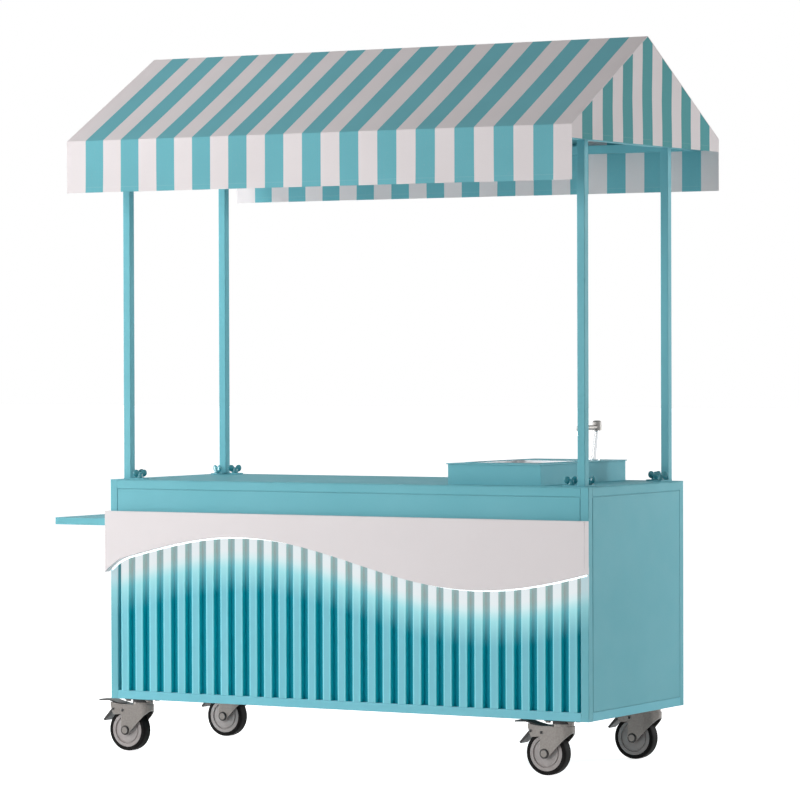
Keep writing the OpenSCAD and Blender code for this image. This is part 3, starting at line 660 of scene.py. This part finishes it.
class Canopy:
    """Shape of the roof, from the frame and the cloth's settings."""

    def __init__(self, cloth):
        self.cloth = cloth
        self.left = COVER_LOW.x
        self.long = COVER_HIGH.x - COVER_LOW.x
        self.half = COVER_HIGH.y
        self.low = COVER_LOW.z
        self.eave = self.low + cloth.drop
        self.rise = COVER_HIGH.z - self.eave
        self.slope = math.hypot(self.half, self.rise)
        self.tilt = math.atan2(self.rise, self.half)
        self.cut = 2 * (cloth.drop + self.slope)
        first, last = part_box("rafters")
        self.bays = (first.x, CABINET.x, last.x)

    def side(self, along):
        """-1 on the front half of the cloth, 1 on the rear half."""
        return -1 if along < self.cut / 2 else 1

    def near(self, along):
        """Distance along the cloth to its nearer cut edge."""
        return min(along, self.cut - along)

    def crease(self, along):
        """Point of the sharply folded profile at a distance along the cloth."""
        side, near = self.side(along), max(self.near(along), 0.0)
        if near < self.cloth.drop:
            return Vector((side * self.half, self.low + near))
        share = (near - self.cloth.drop) / self.slope
        return Vector((side * self.half * (1 - share), self.eave + self.rise * share))

    def profile(self, along):
        """Point of the profile with its folds rounded."""
        r = self.cloth.fold
        if self.near(along) < r:
            return self.crease(along)
        steps = [self.crease(along + r * k / 4) for k in range(-4, 5)]
        return sum(steps, Vector((0.0, 0.0))) / len(steps)

    def rows(self):
        """Places along the cloth where it is cut into rows: close at the folds."""
        drop, slope, r = self.cloth.drop, self.slope, self.cloth.fold
        folds = (drop, drop + slope, drop + 2 * slope)
        rows = [fold + r * k / 2 for fold in folds for k in range(-3, 4)]
        hang = [self.cloth.hem] + [drop * k / VALANCE_ROWS for k in range(1, VALANCE_ROWS)]
        rows += hang + [self.cut - row for row in hang]
        rows += [fold + slope * k / ROOF_ROWS for fold in folds[:2] for k in range(1, ROOF_ROWS)]
        return sorted(rows)

    def sink(self, x, along):
        """How far the taut roof sinks between its rafters."""
        left, mid, right = self.bays
        share = (x - left) / (mid - left) if x < mid else (x - mid) / (right - mid)
        up = self.near(along) - self.cloth.drop
        if up <= 0:
            return 0.0
        hollow = math.sin(math.pi * min(max(share, 0.0), 1.0)) ** 2
        return self.cloth.sag * hollow * math.sin(math.pi * up / self.slope)

    def sway(self, x, along):
        """How far the valance's free edge wanders out of its plane, in two waves that are out
        of step between the front and the rear."""
        free = max(0.0, 1 - self.near(along) / (VALANCE_FREE * self.cloth.drop))
        turns = 2 * math.pi * (x - self.left)
        late = VALANCE_LATE if self.side(along) > 0 else 0.0
        waves = math.sin(turns / LONG_WAVE) + SHORT_SHARE * math.sin(turns / SHORT_WAVE + late)
        return self.cloth.wave * free * free * waves

    def place(self, x, along):
        """Place in space of a point of the cloth's outer face."""
        y, z = self.profile(along)
        out = Vector((0.0, self.side(along), 0.0))
        if self.near(along) > self.cloth.drop:
            out = Vector((0.0, self.side(along) * math.sin(self.tilt), math.cos(self.tilt)))
        reach = self.sway(x, along) - self.sink(x, along)
        return Vector((x, y, z)) + out * reach


def roof_cover(canopy, material):
    """The whole cover as one cloth, cut flat and folded over the ridge and the eaves."""
    bm = flat_cloth(canopy.long, canopy.cut)
    cut_rows(bm, 1, canopy.rows())
    cells = 2 * round(canopy.long / canopy.cloth.stripe)
    cut_rows(bm, 0, [canopy.long * k / cells for k in range(1, cells)])
    mark_cloth(bm)
    for vert in bm.verts:
        vert.co = canopy.place(canopy.left + vert.co.x, vert.co.y)
    crisp_rim(bm)
    piece = new_piece("canopy_cloth", bm, material, "cart")
    thicken(piece, canopy.cloth.thickness)
    return piece


GABLE_CELL = 0.032      # height of one row of the gable cloth
GABLE_COLUMNS = 16      # columns of cloth from the gable's middle to its corner
GABLE_EDGE = 0.12       # width of the gable's edge over which it is drawn in


def gable_cloth(canopy, side, material):
    """Triangular end cloth sewn inside the cover's end, drawn in a little at its middle."""
    cloth = canopy.cloth
    inset = cloth.thickness + cloth.gap
    half, foot, fall = canopy.half - inset, GABLE_LOW, math.tan(canopy.tilt)
    peak = canopy.eave + canopy.rise - inset / math.cos(canopy.tilt)
    shoulder = peak - half * fall
    corners = ((-half, foot), (half, foot), (half, shoulder), (0, peak), (-half, shoulder))
    bm = bmesh.new()
    bm.faces.new([bm.verts.new((y, z, 0)) for y, z in corners])
    cut_rows(bm, 0, [half * k / GABLE_COLUMNS for k in range(1 - GABLE_COLUMNS, GABLE_COLUMNS)])
    rows = int((peak - foot) / GABLE_CELL)
    cut_rows(bm, 1, [foot + cloth.hem] + [foot + GABLE_CELL * k for k in range(1, rows + 1)])
    mark_cloth(bm)
    outer = (COVER_HIGH.x if side > 0 else COVER_LOW.x) - side * cloth.tuck
    for vert in bm.verts:
        y, z = vert.co.x, vert.co.y
        edge = min(z - foot, peak - abs(y) * fall - z) / GABLE_EDGE
        drawn = cloth.drawn * min(max(edge, 0.0), 1.0) ** 2
        vert.co = Vector((outer - side * drawn, y, z))
    if side < 0:
        bmesh.ops.reverse_faces(bm, faces=bm.faces)
    crisp_rim(bm)
    word = "right" if side > 0 else "left"
    piece = new_piece("gable_cloth_" + word, bm, material, "cart")
    thicken(piece, cloth.thickness)
    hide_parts("gable_" + word)


def turned(bm, rings, steps):
    """Turns a closed outline of radius and height, in millimetres, about +Z; returns its points."""
    known = set(bm.verts)
    spine = [bm.verts.new((r / 1000, 0, z / 1000)) for r, z in rings]
    edges = [bm.edges.new(pair) for pair in zip(spine, spine[1:] + spine[:1])]
    bmesh.ops.spin(bm, geom=spine + edges, cent=(0, 0, 0), axis=(0, 0, 1), angle=2 * math.pi,
                   steps=steps, use_merge=True)
    return [vert for vert in bm.verts if vert not in known]


def rotate(bm, verts, angle, axis):
    """Rotates points about the origin."""
    bmesh.ops.rotate(bm, cent=(0, 0, 0), matrix=Matrix.Rotation(angle, 3, axis), verts=verts)


# Outlines to turn, as radius and height in millimetres.
NUT_BOSS = ((4.2, 0.0), (9.6, 0.0), (10.0, 1.0), (9.2, 3.4), (8.2, 9.0), (7.6, 13.0), (7.0, 14.0),
            (4.2, 14.0))
RIVET_DOME = ((0.0, 0.0), (4.8, 0.0), (4.8, 0.6), (4.2, 1.6), (2.6, 2.5), (0.0, 2.9))
AXLE_RING = ((11.0, 0.0), (14.0, 0.0), (14.0, 1.8), (13.0, 3.4), (12.0, 4.1), (9.8, 4.4),
             (9.8, 4.0), (11.0, 3.8))
DRAIN_FLANGE = ((20.0, -1.5), (33.0, 0.1), (33.4, 0.8), (32.0, 1.4), (24.0, 0.6), (20.5, -0.8),
                (19.2, -1.5))
EAR_HALF = (0.0102, 0.0042, 0.0112)      # half sizes of a wing nut's ear
EAR_OUT, EAR_UP = 0.0114, 0.0142         # its middle, from the nut's axis and foot
EAR_LEAN = 0.5                           # how far it leans outwards, in radians
CAST_CELL = 0.0008                       # cell of the skin cast over boss and ears


def wing_nut(place, spin):
    """Cast wing nut: a turned boss between two rounded ears."""
    bm = bmesh.new()
    turned(bm, NUT_BOSS, 32)
    bmesh.ops.recalc_face_normals(bm, faces=bm.faces)
    for side in (1, -1):
        ear = bmesh.ops.create_uvsphere(bm, u_segments=24, v_segments=16, radius=1.0)["verts"]
        bmesh.ops.scale(bm, vec=EAR_HALF, verts=ear)
        rotate(bm, ear, side * EAR_LEAN, "Y")
        bmesh.ops.translate(bm, vec=(side * EAR_OUT, 0, EAR_UP), verts=ear)
    rotate(bm, bm.verts, spin, "Z")
    bmesh.ops.translate(bm, vec=place, verts=bm.verts)
    return bm


def cast_skin(nut):
    """Joins a nut's boss and ears under one skin with soft fillets."""
    skin = nut.modifiers.new("cast skin", "REMESH")
    skin.mode = "VOXEL"
    skin.voxel_size = CAST_CELL
    skin.use_smooth_shade = True
    fillet = nut.modifiers.new("fillets", "SMOOTH")
    fillet.factor = 0.5
    fillet.iterations = 4


WASHER = 0.001          # thickness of a plate bolt's washer
WASHER_SHARE = 0.9      # its radius, as a share of the bolt's width


def hex_bolt(bm, place, flats, tall):
    """Low hexagon head on its washer, head downwards."""
    washer = (0.0, WASHER, flats * WASHER_SHARE, 24)
    head = (WASHER, tall, flats / math.sqrt(3), 6)
    for top, thick, radius, sides in (washer, head):
        disc = bmesh.ops.create_cone(bm, cap_ends=True, segments=sides, radius1=radius,
                                     radius2=radius, depth=thick)["verts"]
        bmesh.ops.translate(bm, vec=place - Vector((0, 0, top + thick / 2)), verts=disc)


def plate_bolts(corner, metal):
    """Four bolts through the corners of one caster's plate."""
    x, y, _ = joint_place(corner + "_swivel")
    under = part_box("caster_plates")[1].z - metal.plate
    bm = bmesh.new()
    for sx in (-1, 1):
        for sy in (-1, 1):
            place = Vector((x + sx * metal.bolt_x, y + sy * metal.bolt_y, under))
            hex_bolt(bm, place, metal.bolt, metal.bolt_head)
    return bm


def fork_trims(corner, metal):
    """Black domed rivets on the brake pin and in front of it, and a ring round each axle cap."""
    axle, pin = joint_place(corner + "_roll"), joint_place(corner + "_brake")
    low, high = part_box("fork_" + corner)
    cheek = (high.y - low.y) / 2 - metal.cap
    spots = ((AXLE_RING, axle.x, axle.z), (RIVET_DOME, pin.x, pin.z),
             (RIVET_DOME, pin.x + metal.rivet_x, pin.z - metal.rivet_z))
    bm = bmesh.new()
    for side in (-1, 1):
        for outline, x, z in spots:
            made = turned(bm, outline, 24)
            rotate(bm, made, -side * math.pi / 2, "X")
            bmesh.ops.translate(bm, vec=(x, axle.y + side * cheek, z), verts=made)
    bmesh.ops.remove_doubles(bm, verts=bm.verts, dist=SAME_POINT)
    bmesh.ops.recalc_face_normals(bm, faces=bm.faces)
    return bm


STRAINER_BARS = 3
STRAINER_BAR = (0.039, 0.0028, 0.0014)   # length, width and thickness of one bar
STRAINER_DOWN = 0.0012                   # how far the bars lie below the drain's place
DRAIN_UP = 0.002                         # the drain's place above the basin's underside


def drain_strainer(place):
    """Turned drain flange with a crossed strainer."""
    bm = bmesh.new()
    turned(bm, DRAIN_FLANGE, 48)
    for k in range(STRAINER_BARS):
        bar = bmesh.ops.create_cube(bm, size=1.0)["verts"]
        bmesh.ops.scale(bm, vec=STRAINER_BAR, verts=bar)
        rotate(bm, bar, math.pi * k / STRAINER_BARS, "Z")
        bmesh.ops.translate(bm, vec=(0, 0, -STRAINER_DOWN), verts=bar)
    bmesh.ops.recalc_face_normals(bm, faces=bm.faces)
    bmesh.ops.translate(bm, vec=place, verts=bm.verts)
    return bm


# ---------------------------------------------------------------- operators

class CART_OT_coat_body(bpy.types.Operator):
    """Coat the cabinet, worktop, shelf, sink surround, posts and roof frame"""
    bl_idname = "cart.coat_body"
    bl_label = "Coat the body"

    def execute(self, context):
        paint, light = context.scene.cart_paint, context.scene.cart_light
        give(powder_coat("teal powder coat", paint.body, paint),
             "top_rails", "front_apron", "side_panels", "back_panel", "side_shelf", "shelf_cleat",
             "sink_surround", "posts", "post_feet", "eave_rails", "eave_cross_bars", "rafters",
             "ridge_tube")
        give(powder_coat("worktop coat", paint.body, paint, gloss=0.03), "countertop")
        give(powder_coat("pale powder coat", paint.rib, paint), "base_rails")
        give(powder_coat("floor panel coat", paint.floor, paint), "floor_panel")
        # The fluted front and the uprights carry the strip's painted glow.
        give(lit_coat("fluted front coat", paint.rib, paint, light, grooved=True), "fluted_panel")
        give(lit_coat("uprights coat", paint.body, paint, light, grooved=False),
             "cabinet_uprights")
        return {"FINISHED"}


class CART_OT_finish_wave_board(bpy.types.Operator):
    """Lacquer the wave-edged board and its batten"""
    bl_idname = "cart.finish_wave_board"
    bl_label = "Lacquer the wave board"

    def execute(self, context):
        paint = context.scene.cart_paint
        give(lacquered_board("white lacquer", paint.board, paint), "fascia_board", "fascia_batten")
        return {"FINISHED"}


class CART_OT_light_strip(bpy.types.Operator):
    """Switch on the light strip behind the wave board"""
    bl_idname = "cart.light_strip"
    bl_label = "Light the strip"

    def execute(self, context):
        give(lit_silicone("lit silicone", context.scene.cart_light), "light_strip")
        return {"FINISHED"}


class CART_OT_hang_canopy(bpy.types.Operator):
    """Fold the striped cover over the roof frame"""
    bl_idname = "cart.hang_canopy"
    bl_label = "Hang the canopy"

    def execute(self, context):
        cloth = context.scene.cart_cloth
        canopy = Canopy(cloth)
        row = cloth.hem - cloth.seam
        seams = (row, canopy.cut - row)
        material = striped_cloth("striped canopy cloth", cloth, cloth.teal, cloth.shift, seams)
        cover = roof_cover(canopy, material)
        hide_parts("canopy_cover")
        return {"FINISHED"}


class CART_OT_hang_gables(bpy.types.Operator):
    """Sew the striped gable cloths into both ends of the roof"""
    bl_idname = "cart.hang_gables"
    bl_label = "Hang the gables"

    def execute(self, context):
        cloth = context.scene.cart_cloth
        canopy = Canopy(cloth)
        count = round(2 * canopy.half / cloth.stripe)
        start = -count * cloth.stripe / 2
        seams = (GABLE_LOW + cloth.hem - cloth.seam,)
        # The gables take the deeper teal, a painted shade of the cover's teal.
        material = striped_cloth("striped gable cloth", cloth, cloth.gable, start, seams)
        for side in (-1, 1):
            gable_cloth(canopy, side, material)
        return {"FINISHED"}


INNER_SPIN = 55         # how far the inner wing nuts are turned from the cart's length, degrees
SIDE_SPIN = 25          # how far the side ones are turned, mirrored from corner to corner


class CART_OT_fit_wing_nuts(bpy.types.Operator):
    """Screw the wing nuts onto the posts' feet"""
    bl_idname = "cart.fit_wing_nuts"
    bl_label = "Fit the wing nuts"

    def execute(self, context):
        paint = context.scene.cart_paint
        material = powder_coat("wing nut coat", paint.nut, paint, gloss=0.5, rough=0.20)
        low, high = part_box("posts")
        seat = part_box("post_feet")[1].z
        for sx in (-1, 1):
            for sy in (-1, 1):
                corner = ("front" if sy < 0 else "rear") + ("_left" if sx < 0 else "_right")
                x = (low.x + paint.post / 2) if sx < 0 else (high.x - paint.post / 2)
                y = sy * (high.y - paint.post / 2)
                inner = Vector((x - sx * paint.nut_x, y, seat))
                side = Vector((x, y - sy * paint.nut_y, seat))
                spins = (("inner", inner, INNER_SPIN), ("side", side, SIDE_SPIN * sx * sy))
                for word, place, spin in spins:
                    bm = wing_nut(place, math.radians(spin))
                    nut = new_piece(f"wing_nut_{corner}_{word}", bm, material, "cart")
                    cast_skin(nut)
                    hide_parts("wing_nuts")
        return {"FINISHED"}


class CART_OT_fit_sink(bpy.types.Operator):
    """Finish the basin and the tap, and set the strainer in the drain"""
    bl_idname = "cart.fit_sink"
    bl_label = "Fit the sink"

    def execute(self, context):
        metal, coat = context.scene.cart_metal, context.scene.cart_paint.body
        low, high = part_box("sink_basin")
        steel = brushed_steel("brushed basin steel", metal.basin, coat, high.z - metal.lip)
        give(steel, "sink_basin")
        head_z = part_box("sink_tap")[1].z - metal.head
        give(chrome("tap chrome", metal.chrome, metal.tap_head, head_z), "sink_tap")
        drain = middle("sink_basin")
        drain.z = low.z + DRAIN_UP
        bright = chrome("drain chrome", metal.chrome)
        new_piece("drain_strainer", drain_strainer(drain), bright, "cart",
                  smooth=False)
        return {"FINISHED"}


class CART_OT_finish_casters(bpy.types.Operator):
    """Finish the casters' steel, wheel centres and tyres, and add their bolts, rivets and rings"""
    bl_idname = "cart.finish_casters"
    bl_label = "Finish the casters"

    def execute(self, context):
        metal = context.scene.cart_metal
        zinc = zinc_plate("zinc plate", metal.zinc, metal.pressed)
        rim = moulded_rim("moulded wheel centre", metal.rim, metal.moulded)
        rubber = tyre_rubber("tyre rubber", metal.tyre)
        black = black_coat("black caster coat", metal.black, metal.zinc, metal.moulded)
        give(black, "caster_plates")
        for corner in CORNERS:
            new_piece("plate_bolts_" + corner, plate_bolts(corner, metal), zinc, "cart",
                      smooth=False)
            new_piece("fork_trims_" + corner, fork_trims(corner, metal), black, "swivel_" + corner)
            give(zinc, "fork_" + corner)
            give(black, "pedal_" + corner)
            give(rim, "wheel_" + corner)
            give(rubber, "tyre_" + corner)
        return {"FINISHED"}


LAMPS = (   # name, setting of its power, place from the cabinet's middle in plan, side
    ("front lamp", "front", (-2.6, -6.0, 2.4), 3.0),
    ("left lamp", "left", (-5.0, -1.0, 1.0), 2.0),
    ("roof lamp", "roof", (-2.4, -1.6, 3.8), 1.5),
    ("rear lamp", "rear", (4.0, 4.0, 1.8), 2.5),
)
LAMP_AIM = 1.1          # height that the lamps face
FLOOR_HALF = 60.0       # half the side of the studio floor
SENSOR = 36.0           # width of the camera's sensor in millimetres
CAMERA_SEES = 200.0     # how far the camera sees


class CART_OT_set_stage(bpy.types.Operator):
    """Lay the studio floor and set the lamps, the world and the camera"""
    bl_idname = "cart.set_stage"
    bl_label = "Set the stage"

    def execute(self, context):
        stage = context.scene.cart_stage
        lay_floor(stage)
        light_world(context.scene, stage)
        for name, setting, place, side in LAMPS:
            hang_lamp(name, getattr(stage, setting), place, side)
        set_camera(context.scene, stage)
        context.scene.view_settings.view_transform = "Standard"
        return {"FINISHED"}


# ---------------------------------------------------------------- stage

def straight_rays(tree):
    """1 where a ray comes from the camera, a gloss or clear glass, and 0 elsewhere."""
    seen = tree.nodes.new("ShaderNodeLightPath")
    straight = seen.outputs["Is Camera Ray"]
    for ray in ("Is Glossy Ray", "Is Transmission Ray"):
        step = tree.nodes.new("ShaderNodeMath")
        step.operation = "MAXIMUM"
        tree.links.new(straight, step.inputs[0])
        tree.links.new(seen.outputs[ray], step.inputs[1])
        straight = step.outputs[0]
    return straight


def lay_floor(stage):
    """Pale floor that looks white to the camera and still takes the cart's shadow."""
    bm = bmesh.new()
    bmesh.ops.create_grid(bm, x_segments=1, y_segments=1, size=FLOOR_HALF)
    mesh = bpy.data.meshes.new("studio_floor")
    bm.to_mesh(mesh)
    bm.free()
    floor = bpy.data.objects.new("studio_floor", mesh)
    bpy.context.scene.collection.objects.link(floor)
    finish = Finish("studio floor")
    finish.set(Base_Color=(*stage.floor, 1.0), Roughness=0.9)
    glow = finish.add("ShaderNodeEmission")
    lift = finish.times(straight_rays(finish.tree), stage.lift)
    finish.feed(glow.inputs["Strength"], lift)
    both = finish.add("ShaderNodeAddShader")
    finish.feed(both.inputs[0], finish.shader.outputs[0])
    finish.feed(both.inputs[1], glow.outputs[0])
    finish.feed(finish.tree.nodes["Material Output"].inputs["Surface"], both.outputs[0])
    mesh.materials.append(finish.material)


def light_world(scene, stage):
    """Even light from all round; the camera and reflections see plain white."""
    world = bpy.data.worlds.new("studio")
    world.use_nodes = True
    tree = world.node_tree
    tree.nodes.clear()
    mix = tree.nodes.new("ShaderNodeMixShader")
    tree.links.new(straight_rays(tree), mix.inputs[0])
    for index, power in ((1, stage.ambient), (2, 1.0)):
        sky = tree.nodes.new("ShaderNodeBackground")
        sky.inputs["Color"].default_value = (1, 1, 1, 1)
        sky.inputs["Strength"].default_value = power
        tree.links.new(sky.outputs[0], mix.inputs[index])
    out = tree.nodes.new("ShaderNodeOutputWorld")
    tree.links.new(mix.outputs[0], out.inputs["Surface"])
    scene.world = world


def hang_lamp(name, power, place, side):
    """Broad square lamp that faces the cart's middle."""
    lamp = bpy.data.lights.new(name, "AREA")
    lamp.energy = power
    lamp.size = side
    holder = bpy.data.objects.new(name, lamp)
    bpy.context.scene.collection.objects.link(holder)
    holder.location = Vector((CABINET.x, CABINET.y, 0)) + Vector(place)
    aim = Vector((CABINET.x, 0, LAMP_AIM)) - holder.location
    holder.rotation_mode = "QUATERNION"
    holder.rotation_quaternion = aim.to_track_quat("-Z", "Y")


def set_camera(scene, stage):
    """Camera at the front right, with a long lens a little above the worktop."""
    lens = bpy.data.cameras.new("camera")
    lens.lens = stage.lens
    lens.sensor_width = SENSOR
    lens.clip_end = CAMERA_SEES
    camera = bpy.data.objects.new("camera", lens)
    scene.collection.objects.link(camera)
    place = Vector((CABINET.x + stage.distance * math.sin(stage.azimuth),
                    -stage.distance * math.cos(stage.azimuth), stage.height))
    facing = (Matrix.Rotation(stage.heading, 4, "Z")
              @ Matrix.Rotation(math.pi / 2 - stage.pitch, 4, "X")
              @ Matrix.Rotation(stage.roll, 4, "Z"))
    camera.matrix_world = Matrix.Translation(place) @ facing
    scene.camera = camera


# ---------------------------------------------------------------- panel and run

class CART_PT_food_cart(bpy.types.Panel):
    """Settings and steps of the food cart"""
    bl_label = "Food cart"
    bl_idname = "CART_PT_food_cart"
    bl_space_type = "VIEW_3D"
    bl_region_type = "UI"
    bl_category = "Food cart"

    def draw(self, context):
        for operator in OPERATORS:
            self.layout.operator(operator.bl_idname)
        for name in SETTINGS:
            box = self.layout.box()
            group = getattr(context.scene, name)
            for field in group.__annotations__:
                box.prop(group, field)


SETTINGS = {
    "cart_paint": CartPaintSettings,
    "cart_light": CartLightSettings,
    "cart_cloth": CartClothSettings,
    "cart_metal": CartMetalSettings,
    "cart_stage": CartStageSettings,
}
OPERATORS = (
    CART_OT_set_stage,
    CART_OT_coat_body,
    CART_OT_finish_wave_board,
    CART_OT_light_strip,
    CART_OT_hang_canopy,
    CART_OT_hang_gables,
    CART_OT_fit_wing_nuts,
    CART_OT_fit_sink,
    CART_OT_finish_casters,
)


def register():
    for kind in (*SETTINGS.values(), *OPERATORS, CART_PT_food_cart):
        bpy.utils.register_class(kind)
    for name, kind in SETTINGS.items():
        setattr(bpy.types.Scene, name, bpy.props.PointerProperty(type=kind))


def unregister():
    for name in SETTINGS:
        delattr(bpy.types.Scene, name)
    for kind in (CART_PT_food_cart, *reversed(OPERATORS), *reversed(SETTINGS.values())):
        bpy.utils.unregister_class(kind)


def main():
    """Dresses the cart."""
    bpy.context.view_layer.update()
    register()
    for operator in OPERATORS:
        getattr(bpy.ops.cart, operator.bl_idname.split(".")[1])()


if __name__ == "__main__":
    main()
